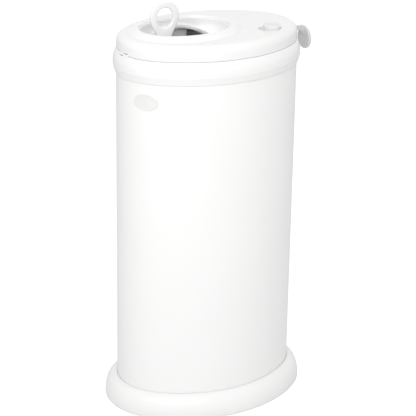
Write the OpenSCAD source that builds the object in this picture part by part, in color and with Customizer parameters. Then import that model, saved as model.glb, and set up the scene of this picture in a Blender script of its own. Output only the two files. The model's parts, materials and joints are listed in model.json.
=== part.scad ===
// Tall oval bin for used nappies: powder-coated steel tube, plastic foot, plastic collar,
// and a hinged lid that carries a roller door with a finger ring.
// Millimetres. +Z is up, -Y is the front (finger ring and badge), +Y the rear (latch).
// The origin is on the floor, in the middle of the foot.

/* [Steel tube] */
// Half of the tube's length, front to rear
tube_l = 146.5; // [145.5:1:149.5]
// Half of the tube's width
tube_w = 104.5; // [102:0.5:108]
// Radius of the tube's front and rear curves
tube_end_r = 80.5; // [77.5:1:83.5]
// Thickness of the steel
steel_t = 0.8; // [0.6:0.1:1.2]

/* [Foot] */
// Height of the seam between the foot and the tube
foot_h = 38; // [34:1:44]
// How far the foot reaches out past the tube
foot_flare = 19.5; // [14:0.1:22]
// Wall of the foot
foot_wall = 3; // [2.4:0.1:3.6]
// Height of the rounded bottom edge of the foot
foot_edge = 4; // [3.5:0.5:6]
// Radius of one non-slip pad
pad_r = 9; // [7:0.5:12]
// Thickness of a non-slip pad
pad_t = 1.5; // [1:0.1:2]

/* [Collar] */
// Height of the collar's lower edge
collar_z = 541; // [530:1:548]
// Height of the seam between the collar and the lid
seam_z = 575.8; // [572:0.2:579]
// How far the collar's belly swells over a straight line from its foot to its top
collar_bulge = 1.9; // [1:0.1:3]
// Wall of the collar
collar_wall = 2.6; // [2:0.1:3]
// Width of the ledge that carries the bag ring
ledge_w = 8.5; // [7:0.5:9.5]
// Wall of the bag ring
bag_ring_t = 3; // [2:0.1:3.4]

/* [Lid] */
// Height of the lid's flat top
lid_top_z = 600; // [596:0.5:606]
// How far the lid's side stands out past the tube
lid_out = -0.5; // [-0.8:0.1:0]
// Width of the lid's rounded shoulder
shoulder_w = 15.5; // [12:0.5:16]
// Height of the upright part of the lid's side
lid_side_h = 6; // [4:0.5:9]
// Wall of the lid cover
lid_wall = 3; // [2.4:0.1:3.2]
// Thickness of the inner lid plate
pan_t = 2.5; // [2:0.1:3.5]
// Height of the inner lid plate's underside
pan_z = 586; // [585:0.5:588]

/* [Mouth] */
// Middle of the mouth, front to rear
mouth_y = -41; // [-41.5:0.5:-39]
// Half of the mouth's length at its crest
mouth_l = 75; // [72:1:76]
// Half of the mouth's width at its crest
mouth_w = 57; // [56:0.25:58]
// Radius of the mouth's front and rear curves
mouth_end_r = 51; // [47:1:52]
// Height of the rim's crest over the lid
rim_h = 7.2; // [5.5:0.1:7.4]
// Width of the rim's outer slope
rim_slope_w = 13.5; // [8:0.5:15]
// Width of the rim's inner lip
rim_lip_w = 3.5; // [3:0.1:4.5]
// Wall of the throat below the rim
throat_wall = 2.4; // [1.8:0.1:3]

/* [Roller door] */
// Outer radius of the door
door_r = 95; // [92:0.5:96]
// Thickness of the door
door_t = 2.6; // [2:0.1:3.2]
// Half of the door's width
door_w = 52; // [51:0.5:53]
// Place of the door's pivots, front to rear
axis_y = -32; // [-34:0.5:-30]
// Height of the door's pivots
axis_z = 495; // [493:0.5:496]
// Angle of the door's rear edge when open, from upright
door_rear_a = -15; // [-16:0.5:-14]
// Angle of the door's front edge when open, from upright
door_front_a = -82; // [-84:0.5:-80]
// Travel of the door from open to closed
door_travel = 38; // [30:1:38]
// Running gap between the door and the apron over it
door_gap = 3; // [2.5:0.1:3.5]
// Thickness of a side arm
arm_t = 3; // [2.4:0.1:3.4]
// Radius of a pivot pin
pivot_r = 4; // [3:0.5:5]
// Radial clearance of a turning fit
run_fit = 0.05; // [0.02:0.01:0.1]

/* [Finger ring] */
// Middle of the finger ring, front to rear
ring_y = -75; // [-76:0.5:-73]
// Height of the ring's upper arc centre
ring_z = 625; // [622:0.5:627]
// Outer radius of the ring
ring_r = 24; // [22:0.5:24]
// Radius of the finger hole
finger_r = 13.2; // [11:0.1:14]
// Distance between the upper and lower arc centres
ring_stretch = 3.4; // [2:0.1:5]
// Thickness of the ring
ring_t = 6; // [5:0.5:7]
// Width of the ring's neck
neck_w = 22; // [18:0.5:24]

/* [Child lock] */
// Place of the lock button, side to side
lock_x = 49; // [48:0.5:50]
// Place of the lock button, front to rear
lock_y = 83; // [80:1:86]
// Radius of the lock button
lock_r = 13; // [11:0.5:14]
// Height of the lock button over the lid
lock_h = 5.6; // [4:0.1:7]
// Travel of the lock button towards the front
lock_travel = 8; // [6:0.5:9]

/* [Rear latch] */
// Radius of the round thumb pad
thumb_r = 17; // [14:0.5:19]
// Thickness of the thumb pad
thumb_t = 5; // [4:0.5:6]
// Height of the middle of the thumb pad
thumb_z = 562; // [560:0.5:565]
// Gap between the thumb pad and the lid's rear
thumb_gap = 26.5; // [22:0.5:28]

/* [Badge] */
// Half of the badge's length
badge_l = 20.2; // [17.2:0.5:22.2]
// Half of the badge's height
badge_h = 12.2; // [10:0.1:14]
// Thickness of the badge
badge_t = 1.2; // [0.8:0.1:2]
// Height of the middle of the badge
badge_z = 512; // [500:1:520]
// Bearing of the badge from the front towards the right side
badge_a = 36; // [0:0.5:36]

/* [Hidden] */
$fn = 96;
big_fn = 180;

// Small clearances
slip = 0.3;
soft_gap = 0.3;
lid_gap = 0.4;
head_gap = 0.1;

// Heights that follow from the others
groove_z = foot_wall + 5;
tube_top_z = seam_z - 12;
tube_h = tube_top_z - groove_z;
inner_wall_h = 26;
ledge_top_z = seam_z - 9;
lid_z = seam_z + lid_gap;
under_lid_z = lid_top_z - lid_wall;
pan_top_z = pan_z + pan_t;

// Distances from the tube's outline
collar_in = steel_t + slip;
skirt_in = collar_in + collar_wall;
ledge_in = skirt_in + ledge_w;
land_in = 4.5;

// Door and throat
apron_r = door_r + door_gap;
arm_x = door_w - arm_t;
bracket_t = 3;
throat_gap = 0.5;
bracket_x = mouth_w - rim_lip_w + throat_gap;
door_clear = 6;
slot_half_w = 45;
slot_front_a = -37;
slot_rear_a = door_rear_a + door_travel - 3.5;
lock_tab_a = 14;
lug_a = 3.5;
lug_r = door_r - door_t;
tab_r = lug_r - 6;

// Hinge at the front
hinge_y = 1.2 - tube_l - lid_out;
hinge_z = seam_z + lid_gap / 2;
knuckle_r = 2.6;
knuckle_pitch = 10;
hinge_relief = 1;
hinge_pin_r = 1.2;
hinge_half_w = 1.5 * knuckle_pitch;
hinge_pin_l = hinge_half_w - 1.5;

// Latch at the rear
latch_y = tube_l - 9.5;
latch_z = lid_top_z - 12;
latch_pin_r = 2;
latch_hub_r = 4.5;
latch_w = 10;
lug_t = 3;
lug_gap = 3;
thumb_y = tube_l + lid_out + thumb_gap;

// Fasteners
screw_r = 1.6;
screw_head_r = 3.2;
screw_head_t = 1.6;
boss_r = 4.5;
boss_places = [[80, -40], [80, 30], [36, -118], [36, 118]];
bracket_foot_w = 12;
bracket_screw_y = [axis_y - 18, axis_y + 18];

function side_shift(a, b, r) = (pow(a - r, 2) - pow(b - r, 2)) / (2 * (b - r));
// The four-arc oval has its end curves centred at (0, c) and its side curves at (-d, 0).
// Both kinds of curve meet on the line through those two centres.
module end_wedge(c, d) {
    polygon([[0, c], [2 * d, 3 * c], [2 * d, 12 * c], [-2 * d, 12 * c], [-2 * d, 3 * c]]);
}
module side_wedge(c, d) { polygon([[-d, 0], [2 * d, 3 * c], [2 * d, -3 * c]]); }

// Filled four-arc oval, long axis along Y, moved outwards by grow
module oval_of(a, b, r, grow = 0) {
    c = a - r;
    d = side_shift(a, b, r);
    for (s = [0, 180]) rotate(s) {
        intersection() { translate([0, c]) circle(r + grow, $fn = big_fn); end_wedge(c, d); }
        intersection() { translate([-d, 0]) circle(b + d + grow, $fn = 2 * big_fn); side_wedge(c, d); }
    }
}

// A profile of (distance from the oval, height) carried round a four-arc oval
module sweep_oval(a, b, r) {
    c = a - r;
    d = side_shift(a, b, r);
    for (s = [0, 180]) rotate([0, 0, s]) {
        intersection() {
            translate([0, c, 0]) rotate_extrude($fn = big_fn) translate([r, 0]) children();
            plate(-1, 2 * lid_top_z) end_wedge(c, d);
        }
        intersection() {
            translate([-d, 0, 0]) rotate_extrude($fn = 2 * big_fn) translate([b + d, 0]) children();
            plate(-1, 2 * lid_top_z) side_wedge(c, d);
        }
    }
}

module tube_oval(grow = 0) { oval_of(tube_l, tube_w, tube_end_r, grow); }
module tube_sweep() { sweep_oval(tube_l, tube_w, tube_end_r) children(); }
module mouth_oval(grow = 0) {
    translate([0, mouth_y]) oval_of(mouth_l, mouth_w, mouth_end_r, grow);
}
module mouth_sweep() {
    translate([0, mouth_y, 0]) sweep_oval(mouth_l, mouth_w, mouth_end_r) children();
}
module plate(z, t) { translate([0, 0, z]) linear_extrude(t) children(); }
module block(x0, x1, y0, y1, z0, z1) { translate([x0, y0, z0]) cube([x1 - x0, y1 - y0, z1 - z0]); }

// Draws a (Y, Z) outline between two X values
module along_x(x0, x1) { translate([x0, 0, 0]) rotate([90, 0, 90]) linear_extrude(x1 - x0) children(); }
module rod_x(x0, x1, y, z, r) { along_x(x0, x1) translate([y, z]) circle(r); }

// Outline round the door's pivot axis: a ring segment between two angles from upright
module drum_wedge(r, a0, a1) {
    step = (a1 - a0) / 6;
    translate([axis_y, axis_z])
        polygon(concat([[0, 0]], [for (i = [0:6]) 1.3 * r * [sin(a0 + i * step), cos(a0 + i * step)]]));
}
module drum_disc(r) { translate([axis_y, axis_z]) circle(r, $fn = big_fn); }
module drum_band(r0, r1, a0, a1) {
    intersection() {
        difference() { drum_disc(r1); drum_disc(r0); }
        drum_wedge(r1, a0, a1);
    }
}

// ---- Foot ----
function flare(v) = pow(max(v, 0), 0.9);
module foot_outline() {
    steps = 8;
    top_out = 0.8;
    toe = 1.4;
    polygon(concat(
        [[-skirt_in, 0], [foot_flare - toe, 0]],
        [for (i = [1:3]) [foot_flare - toe + toe * sin(30 * i), foot_edge - foot_edge * cos(30 * i)]],
        [for (i = [1:steps]) let (t = 90 * i / steps)
            [top_out + (foot_flare - top_out) * flare(cos(t)), foot_edge + (foot_h - foot_edge) * flare(sin(t))]],
        [[slip, foot_h], [slip, groove_z], [-collar_in, groove_z],
         [-collar_in, foot_wall + inner_wall_h], [-skirt_in, foot_wall + inner_wall_h]]));
}
module foot_hollow() {
    steps = 6;
    in_x = slip + foot_wall;
    out_x = foot_flare - foot_wall;
    top = foot_h - 2 * foot_wall;
    polygon(concat([[in_x, foot_wall], [out_x, foot_wall]],
        [for (i = [0:steps]) let (t = 90 * i / steps)
            [in_x + (out_x - in_x) * cos(t), foot_edge + (top - foot_edge) * sin(t)]]));
}
pad_places = [[0, tube_l - 12], [0, 12 - tube_l], [tube_w - 22, 62], [22 - tube_w, 62],
    [tube_w - 22, -62], [22 - tube_w, -62]];
foot_screw_z = 22;
module foot() {
    color("white") difference() {
        union() {
            tube_sweep() difference() { foot_outline(); foot_hollow(); }
            plate(0, foot_wall) tube_oval(-collar_in);
        }
        for (p = pad_places) translate([p[0], p[1], 0]) translate([0, 0, -1]) cylinder(r = pad_r, h = pad_t + 1);
        side_screw_holes(foot_screw_z);
    }
}
module non_slip_pads() {
    color("dimgray") for (p = pad_places) translate([p[0], p[1], 0]) cylinder(r = pad_r, h = pad_t);
}

// Screws from inside, through an inner wall and the steel, at the middle of both long sides
module side_screw_holes(z) {
    for (s = [0, 180]) rotate([0, 0, s])
        rod_x(tube_w - skirt_in - 1, tube_w + slip + 1.6, 0, z, screw_r);
}
module side_screws(z) {
    for (s = [0, 180]) rotate([0, 0, s]) {
        rod_x(tube_w - skirt_in - 2 * head_gap, tube_w + slip + 1.4, 0, z, screw_r);
        rod_x(tube_w - skirt_in - head_gap - screw_head_t, tube_w - skirt_in - head_gap, 0, z, screw_head_r);
    }
}
module foot_screws() { color("silver") side_screws(foot_screw_z); }

// ---- Tube ----
module steel_tube() {
    color("white") difference() {
        plate(groove_z, tube_h) difference() { tube_oval(); tube_oval(-steel_t); }
        side_screw_holes(foot_screw_z);
        side_screw_holes(collar_screw_z);
    }
}
module badge() {
    face_x = tube_end_r * sin(badge_a);
    face_y = tube_end_r - tube_l - tube_end_r * cos(badge_a);
    color("whitesmoke") intersection() {
        plate(badge_z - 2 * badge_h, 4 * badge_h) translate([0, tube_end_r - tube_l]) difference() {
            circle(tube_end_r + badge_t, $fn = big_fn);
            circle(tube_end_r, $fn = big_fn);
        }
        translate([face_x, face_y, badge_z]) rotate([90, 0, badge_a])
            translate([0, 0, -10]) linear_extrude(60)
                rotate(90) oval_of(badge_l, badge_h, badge_h - 4);
    }
}

// ---- Collar ----
collar_screw_z = tube_top_z - 12;
module collar_outline() {
    steps = 12;
    lip_out = 1.6;
    foot_out = 4.7;
    top_out = lid_out + 0.9;
    belly_z = collar_z + 11;
    polygon(concat(
        [[slip, collar_z], [lip_out, collar_z], [lip_out + 0.3, collar_z + 1.2]],
        [for (i = [0:steps]) let (t = i / steps)
            [foot_out + (top_out - foot_out) * t + collar_bulge * sin(180 * t), belly_z + (seam_z - belly_z) * t]],
        [[-land_in, seam_z], [-land_in, ledge_top_z], [-ledge_in, ledge_top_z],
         [-ledge_in, ledge_top_z - collar_wall], [-skirt_in, ledge_top_z - collar_wall],
         [-skirt_in, collar_z + 4], [-collar_in, collar_z + 4], [-collar_in, tube_top_z],
         [slip, tube_top_z]]));
}
seal_out = lid_out - 0.9;
seal_in = seal_out - 1.8;
seal_t = 2;
module collar() {
    color("white") difference() {
        union() {
            tube_sweep() difference() {
                collar_outline();
                translate([seal_in, seam_z - seal_t]) square([seal_out - seal_in, seal_t + 1]);
            }
            knuckles([-1, 1]);
        }
        knuckle_pockets([0]);
        rod_x(-hinge_pin_l, hinge_pin_l, hinge_y, hinge_z, hinge_pin_r);
        side_screw_holes(collar_screw_z);
    }
}
module collar_screws() { color("silver") side_screws(collar_screw_z); }
module collar_seal() {
    color("lightgray") difference() {
        tube_sweep() translate([seal_in, seam_z - seal_t])
            square([seal_out - seal_in, seal_t + lid_gap - soft_gap]);
        block(-hinge_half_w - 1, hinge_half_w + 1, hinge_y - 9, hinge_y + 9, seam_z - 9, seam_z + 9);
    }
}
module bag_ring() {
    lip = 3;
    color("gainsboro") difference() {
        tube_sweep() polygon([
            [-land_in - 0.6, ledge_top_z], [-land_in - 0.6, ledge_top_z + bag_ring_t],
            [-ledge_in - 1, ledge_top_z + bag_ring_t + 0.6],
            [-ledge_in - lip, ledge_top_z + bag_ring_t - 0.6], [-ledge_in - lip, ledge_top_z - 4],
            [-ledge_in - 1, ledge_top_z - 4], [-ledge_in - 1, ledge_top_z]]);
        block(-9, 9, keeper_y - 5.4, tube_l, ledge_top_z - 1, ledge_top_z + 9);
    }
}

// ---- Front hinge ----
module knuckles(list) {
    for (i = list) rod_x((i - 0.5) * knuckle_pitch + 0.2, (i + 0.5) * knuckle_pitch - 0.2,
        hinge_y, hinge_z, knuckle_r);
}
module knuckle_pockets(list) {
    for (i = list) rod_x((i - 0.5) * knuckle_pitch - 0.2, (i + 0.5) * knuckle_pitch + 0.2,
        hinge_y, hinge_z, knuckle_r + hinge_relief);
}
module hinge_pin() {
    color("silver") rod_x(-hinge_pin_l, hinge_pin_l, hinge_y, hinge_z, hinge_pin_r);
}

// ---- Lid cover ----
// Makes a quarter round fuller than a circle
function full(v) = pow(max(v, 0), 0.66);
module lid_outline() {
    steps = 10;
    side_top = lid_z + lid_side_h;
    rise = lid_top_z - side_top;
    inner = lid_out - lid_wall;
    polygon(concat(
        [[inner, lid_z], [lid_out, lid_z]],
        [for (i = [0:steps]) let (t = 90 * i / steps)
            [lid_out - shoulder_w * (1 - full(cos(t))), side_top + rise * full(sin(t))]],
        [[lid_out - shoulder_w - 4, lid_top_z], [lid_out - shoulder_w - 4, under_lid_z]],
        [for (i = [steps:-1:0]) let (t = 90 * i / steps)
            [inner - (shoulder_w - lid_wall) * (1 - full(cos(t))), side_top + (rise - lid_wall) * full(sin(t))]]));
}
module lid_cover() {
    hole_grow = rim_slope_w - 6;
    color("white") difference() {
        union() {
            tube_sweep() lid_outline();
            plate(under_lid_z, lid_wall) tube_oval(lid_out - shoulder_w - 2);
            knuckles([0]);
            for (p = boss_places, s = [-1, 1]) translate([s * p[0], p[1], pan_top_z])
                cylinder(r = boss_r, h = under_lid_z - pan_top_z + 1);
            for (s = [-1, 1]) block(s * (latch_w / 2 + lug_gap) - (s < 0 ? lug_t : 0),
                s * (latch_w / 2 + lug_gap) + (s > 0 ? lug_t : 0),
                latch_y - 5, latch_y + 3.5, latch_z - 4.5, under_lid_z + 0.5);
        }
        knuckle_pockets([-1, 1]);
        rod_x(-hinge_pin_l, hinge_pin_l, hinge_y, hinge_z, hinge_pin_r + run_fit);
        plate(under_lid_z - 1, lid_wall + 2) mouth_oval(hole_grow);
        plate(under_lid_z - 1, lid_wall + 2) lock_window(lock_r + 1.5);
        for (p = boss_places, s = [-1, 1]) translate([s * p[0], p[1], pan_z]) cylinder(r = screw_r, h = 9);
        rod_x(-20, 20, latch_y, latch_z, latch_pin_r);
        block(-latch_w / 2 - 1.5, latch_w / 2 + 1.5, latch_y + 3, tube_l + 20, lid_z - 1, latch_arm_z1 + 6);
    }
}

// ---- Mouth ----
module mouth_rim() {
    steps = 6;
    spigot = rim_slope_w - 6 - slip;
    color("white") mouth_sweep() polygon(concat(
        [[spigot, lid_top_z], [rim_slope_w, lid_top_z]],
        [for (i = [1:steps]) let (t = i / steps)
            [rim_slope_w * (1 - t), lid_top_z + rim_h * (1 - pow(1 - t, 1.7)) ]],
        [for (i = [1:4]) [-rim_lip_w * sin(22.5 * i), lid_top_z + rim_h - 3 + 3 * cos(22.5 * i)]],
        [[-rim_lip_w, under_lid_z - 1], [spigot, under_lid_z - 1]]));
}
module throat_oval(grow = 0) { mouth_oval(-rim_lip_w + grow); }
// The opening in the apron, between two angles round the door's axis and inside the throat
module drop_way(grow) {
    turn = grow / 1.7;
    intersection() {
        along_x(-slot_half_w - grow, slot_half_w + grow)
            drum_wedge(apron_r + 30, slot_front_a - turn, slot_rear_a + turn);
        plate(axis_z, 2 * door_r) throat_oval(grow - throat_wall - 3);
    }
}
module throat() {
    top = lid_top_z + rim_h - 4;
    low = axis_z + 60;
    color("white") union() {
        difference() {
            plate(low, top - low) difference() { throat_oval(); throat_oval(-throat_wall); }
            along_x(-2 * mouth_w, 2 * mouth_w) drum_disc(apron_r);
        }
        difference() {
            intersection() {
                along_x(-2 * mouth_w, 2 * mouth_w) difference() {
                    drum_disc(apron_r + throat_wall);
                    drum_disc(apron_r);
                }
                plate(low, top - low) throat_oval(-throat_wall / 2);
            }
            drop_way(0);
        }
    }
}
module mouth_seal() {
    color("silver") difference() {
        intersection() {
            along_x(-2 * mouth_w, 2 * mouth_w) difference() {
                drum_disc(apron_r);
                drum_disc(door_r + soft_gap);
            }
            drop_way(2.8);
        }
        drop_way(-0.8);
    }
}

// ---- Inner lid plate and door brackets ----
module lid_plate() {
    edge = lid_out - lid_wall - slip - 1.5;
    color("gainsboro") difference() {
        plate(pan_z, pan_t) difference() {
            tube_oval(edge);
            translate([0, mouth_y]) square(2 * [bracket_x - throat_gap / 2, mouth_l - rim_lip_w + 2 * throat_gap], center = true);
        }
        for (p = boss_places, s = [-1, 1]) translate([s * p[0], p[1], pan_z - 1]) cylinder(r = screw_r + slip, h = 9);
        for (y = bracket_screw_y, s = [-1, 1])
            translate([s * (bracket_x + bracket_t + bracket_foot_w / 2), y, pan_z - 1]) cylinder(r = screw_r, h = 9);
        block(-latch_w / 2 - lug_gap - lug_t - 1, latch_w / 2 + lug_gap + lug_t + 1, latch_y - 8,
            tube_l + 20, pan_z - 1, pan_top_z + 1);
        block(lock_x - 6, lock_x + 6, lock_y - lock_travel - 8, lock_y + 8, pan_z - 1, pan_top_z + 1);
    }
}
module lid_screws() {
    color("silver") for (p = boss_places, s = [-1, 1]) translate([s * p[0], p[1], 0]) {
        translate([0, 0, pan_z]) cylinder(r = screw_r, h = 9);
        translate([0, 0, pan_z - screw_head_t]) cylinder(r = screw_head_r, h = screw_head_t);
    }
}
module bracket(s) {
    top_w = 26;
    hub_w = 13;
    color("white") difference() {
        union() {
            along_x(s > 0 ? bracket_x : -bracket_x - bracket_t, s > 0 ? bracket_x + bracket_t : -bracket_x) {
                translate([axis_y, axis_z]) circle(hub_w);
                polygon([[axis_y - hub_w, axis_z], [axis_y + hub_w, axis_z],
                    [axis_y + top_w, pan_z], [axis_y - top_w, pan_z]]);
            }
            block(s > 0 ? bracket_x : -bracket_x - bracket_t - bracket_foot_w,
                s > 0 ? bracket_x + bracket_t + bracket_foot_w : -bracket_x,
                axis_y - top_w, axis_y + top_w, pan_z - 3, pan_z);
        }
        rod_x(-80, 80, axis_y, axis_z, pivot_r);
        for (y = bracket_screw_y)
            translate([s * (bracket_x + bracket_t + bracket_foot_w / 2), y, pan_z - 4]) cylinder(r = screw_r, h = 9);
    }
}
module door_bracket_left() { bracket(-1); }
module door_bracket_right() { bracket(1); }
module bracket_screws() {
    color("silver") for (y = bracket_screw_y, s = [-1, 1])
        translate([s * (bracket_x + bracket_t + bracket_foot_w / 2), y, 0]) {
            translate([0, 0, pan_z - 3]) cylinder(r = screw_r, h = 3 + pan_t);
            translate([0, 0, pan_z - 3 - screw_head_t]) cylinder(r = screw_head_r, h = screw_head_t);
        }
}
module pivot_pin() {
    rod_x(arm_x - 0.5, bracket_x + bracket_t, axis_y, axis_z, pivot_r);
    rod_x(bracket_x + bracket_t, bracket_x + bracket_t + 2, axis_y, axis_z, pivot_r + 3);
}
module pivot_pin_left() { color("silver") mirror([1, 0, 0]) pivot_pin(); }
module pivot_pin_right() { color("silver") pivot_pin(); }

// ---- Roller door, drawn open ----
module inside_tube() {
    intersection() {
        children();
        plate(axis_z - 2 * door_r, 4 * door_r) tube_oval(-steel_t - door_clear);
    }
}
arm_screw_a = [-28, -50];
module door_panel() {
    color("white") difference() {
        inside_tube() along_x(-door_w, door_w) drum_band(door_r - door_t, door_r, door_front_a, door_rear_a);
        ring_screw_holes();
    }
}
module arm() {
    hub = 13;
    difference() {
        union() {
            along_x(arm_x, door_w) {
                translate([axis_y, axis_z]) circle(hub);
                intersection() {
                    drum_disc(door_r - door_t);
                    drum_wedge(door_r, door_front_a + 20, door_rear_a);
                }
                drum_band(tab_r - 12, tab_r, door_rear_a - 1, door_rear_a + lock_tab_a);
                drum_band(tab_r - 2, lug_r, door_rear_a + lock_tab_a - lug_a, door_rear_a + lock_tab_a);
            }
            rod_x(door_w, bracket_x - 0.3, axis_y, axis_z, pivot_r + 3);
        }
        rod_x(arm_x - 1, bracket_x + 1, axis_y, axis_z, pivot_r + run_fit);
        along_x(arm_x - 1, door_w + 1) drum_band(26, door_r - 22, door_front_a + 30, door_rear_a - 9);
    }
}
module door_arm_right() { color("white") arm(); }
module door_arm_left() { color("white") mirror([1, 0, 0]) arm(); }
// Placed along the radius at an angle round the pivot axis
module at_drum(x, a, r) { translate([x, axis_y, axis_z]) rotate([-a, 0, 0]) translate([0, 0, r]) children(); }
module arm_screws() {
    color("silver") for (s = [-1, 1], a = arm_screw_a)
        at_drum(s * (arm_x - 2.5), a, lug_r - 5) cylinder(r = 2.5, h = 5 - head_gap);
}

// ---- Finger ring ----
ring_screw_a = [asin((ring_y - 6 - axis_y) / door_r), asin((ring_y + 6 - axis_y) / door_r)];
module ring_screw_holes() {
    for (a = ring_screw_a) at_drum(0, a, door_r - 8) cylinder(r = screw_r, h = 16);
}
module finger_ring() {
    low_z = ring_z - ring_stretch;
    neck_z = ring_z - 30;
    flank = ring_r * 0.94;
    color("white") difference() {
        along_x(-ring_t / 2, ring_t / 2) difference() {
            union() {
                translate([ring_y, ring_z]) circle(ring_r);
                translate([ring_y, low_z]) circle(ring_r);
                translate([ring_y - ring_r, low_z]) square([2 * ring_r, ring_stretch]);
                polygon([[ring_y - flank, low_z - ring_r * 0.34], [ring_y - neck_w / 2, neck_z],
                    [ring_y - neck_w / 2, axis_z + 60], [ring_y + neck_w / 2, axis_z + 60],
                    [ring_y + neck_w / 2, neck_z], [ring_y + flank, low_z - ring_r * 0.34]]);
            }
            translate([ring_y, ring_z]) circle(finger_r);
            translate([ring_y, low_z]) circle(finger_r);
            translate([ring_y - finger_r, low_z]) square([2 * finger_r, ring_stretch]);
            drum_disc(door_r);
        }
        for (a = ring_screw_a) at_drum(0, a, door_r - 2) cylinder(r = screw_r, h = 9);
    }
}
module ring_screws() {
    color("silver") for (a = ring_screw_a) {
        at_drum(0, a, lug_r - screw_head_t) cylinder(r = screw_r, h = screw_head_t + door_t + 7);
        at_drum(0, a, lug_r - screw_head_t - head_gap) cylinder(r = screw_head_r, h = screw_head_t);
    }
}

// ---- Child lock ----
module lock_window(r) {
    for (y = [lock_y, lock_y - lock_travel]) translate([lock_x, y]) circle(r);
    translate([lock_x - r, lock_y - lock_travel]) square([2 * r, lock_travel]);
}
tray_z = under_lid_z - 2.5;
module lock_tray() {
    color("white") difference() {
        plate(tray_z, lid_top_z - tray_z) lock_window(lock_r + 1.5 - slip / 2);
        plate(tray_z + 1.5, 20) lock_window(lock_r + 0.5);
        block(lock_x - 3.3, lock_x + 3.3, lock_y - lock_travel - 5.3, lock_y + 5.3, tray_z - 1, tray_z + 9);
    }
}
module lock_button() {
    low = tray_z + 1.5 + slip;
    crown = 1.6;
    color("whitesmoke") union() {
        translate([lock_x, lock_y, low]) cylinder(r = lock_r, h = lid_top_z + lock_h - crown - low);
        translate([lock_x, lock_y, lid_top_z + lock_h - crown]) rotate_extrude() polygon(concat([[0, 0]],
            [for (i = [0:4]) [lock_r - crown + crown * cos(22.5 * i), crown * sin(22.5 * i)]], [[0, crown]]));
        block(lock_x - 3, lock_x + 3, lock_y - 5, lock_y + 5, lock_bar_z + 4, low + 1);
    }
}
lug_closed_a = door_rear_a + door_travel + lock_tab_a;
lock_bar_z = axis_z + lug_r * cos(lug_closed_a - lug_a) + 0.4;
lock_tip_y = axis_y + sqrt(pow(lug_r, 2) - pow(lock_bar_z - 1 - axis_z, 2)) + 0.2;
module lock_bar() {
    color("silver") block(lock_x - 4.5, lock_x + 4.5, lock_tip_y, lock_y + 7, lock_bar_z, lock_bar_z + 4);
}

// ---- Rear latch ----
latch_arm_z0 = seam_z + 1;
latch_arm_z1 = latch_arm_z0 + 5;
hook_z = ledge_top_z + bag_ring_t + 0.5;
keeper_y = latch_y - 4.4;
keeper_t = 1.5;
module latch_lever() {
    color("lightgray") difference() {
        union() {
            along_x(-latch_w / 2, latch_w / 2) {
                translate([latch_y, latch_z]) circle(latch_hub_r);
                polygon([[latch_y - latch_hub_r + 0.6, latch_z - 2], [latch_y - 1, latch_arm_z0],
                    [thumb_y - 7, latch_arm_z0], [thumb_y, thumb_z + 5], [thumb_y + 1, thumb_z + 5],
                    [thumb_y + 1, latch_arm_z1], [latch_y + 6.5, latch_arm_z1],
                    [latch_y + latch_hub_r - 0.4, latch_z + 1]]);
                polygon([[keeper_y + slip, hook_z], [latch_y - 0.5, hook_z], [latch_y - 0.5, latch_z],
                    [latch_y - 2.7, latch_z], [latch_y - 2.7, hook_z + 2], [keeper_y + slip, hook_z + 2]]);
            }
            translate([0, thumb_y, thumb_z]) rotate([-90, 0, 0]) cylinder(r = thumb_r, h = thumb_t);
        }
        rod_x(-20, 20, latch_y, latch_z, latch_pin_r + run_fit);
    }
}
module latch_pin() {
    color("silver") rod_x(-latch_w / 2 - lug_gap - lug_t, latch_w / 2 + lug_gap + lug_t, latch_y, latch_z, latch_pin_r);
}
module latch_spring() {
    color("gray") along_x(latch_w / 2 + slip, latch_w / 2 + lug_gap) translate([latch_y, latch_z]) difference() {
        circle(3.6);
        circle(latch_pin_r);
    }
}
module latch_keeper() {
    post_y = keeper_y - 3.8;
    lip_z = hook_z + 2 + slip;
    color("silver") along_x(-7, 7) polygon([[post_y, ledge_top_z], [latch_y + 1, ledge_top_z],
        [latch_y + 1, ledge_top_z + keeper_t], [post_y + keeper_t, ledge_top_z + keeper_t],
        [post_y + keeper_t, lip_z], [keeper_y, lip_z], [keeper_y, lip_z + keeper_t],
        [post_y, lip_z + keeper_t]]);
}

foot();
non_slip_pads();
foot_screws();
steel_tube();
badge();
collar();
collar_screws();
collar_seal();
bag_ring();
latch_keeper();
hinge_pin();
lid_cover();
mouth_rim();
throat();
mouth_seal();
lid_plate();
lid_screws();
door_bracket_left();
door_bracket_right();
bracket_screws();
pivot_pin_left();
pivot_pin_right();
door_panel();
door_arm_left();
door_arm_right();
arm_screws();
finger_ring();
ring_screws();
lock_tray();
lock_button();
lock_bar();
latch_lever();
latch_pin();
latch_spring();
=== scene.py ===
import json
import math

import bpy
import bmesh
import numpy as np
from mathutils import Matrix


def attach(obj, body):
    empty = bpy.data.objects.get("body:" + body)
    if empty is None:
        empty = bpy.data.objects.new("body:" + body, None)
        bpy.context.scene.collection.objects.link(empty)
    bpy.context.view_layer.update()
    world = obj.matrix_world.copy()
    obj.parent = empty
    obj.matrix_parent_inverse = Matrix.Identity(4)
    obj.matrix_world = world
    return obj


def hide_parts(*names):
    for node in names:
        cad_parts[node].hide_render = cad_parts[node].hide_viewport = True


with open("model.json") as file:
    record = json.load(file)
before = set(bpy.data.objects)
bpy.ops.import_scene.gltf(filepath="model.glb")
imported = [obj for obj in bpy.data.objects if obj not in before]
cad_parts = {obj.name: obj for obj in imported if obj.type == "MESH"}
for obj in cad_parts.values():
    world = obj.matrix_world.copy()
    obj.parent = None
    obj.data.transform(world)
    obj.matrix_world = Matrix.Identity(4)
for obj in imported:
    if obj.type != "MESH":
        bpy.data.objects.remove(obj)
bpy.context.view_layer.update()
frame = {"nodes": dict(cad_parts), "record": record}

# ---------------------------------------------------------------- sizes, in millimetres
# An oval is given as (half length, half width, end radius). Distances named _OUT and _IN are measured
# outwards and inwards from the tube's outside.
TUBE = (146.5, 104.5, 80.5)
TUBE_LOW, TUBE_HIGH = 8.05, 565.75
STEEL = 0.8
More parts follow.
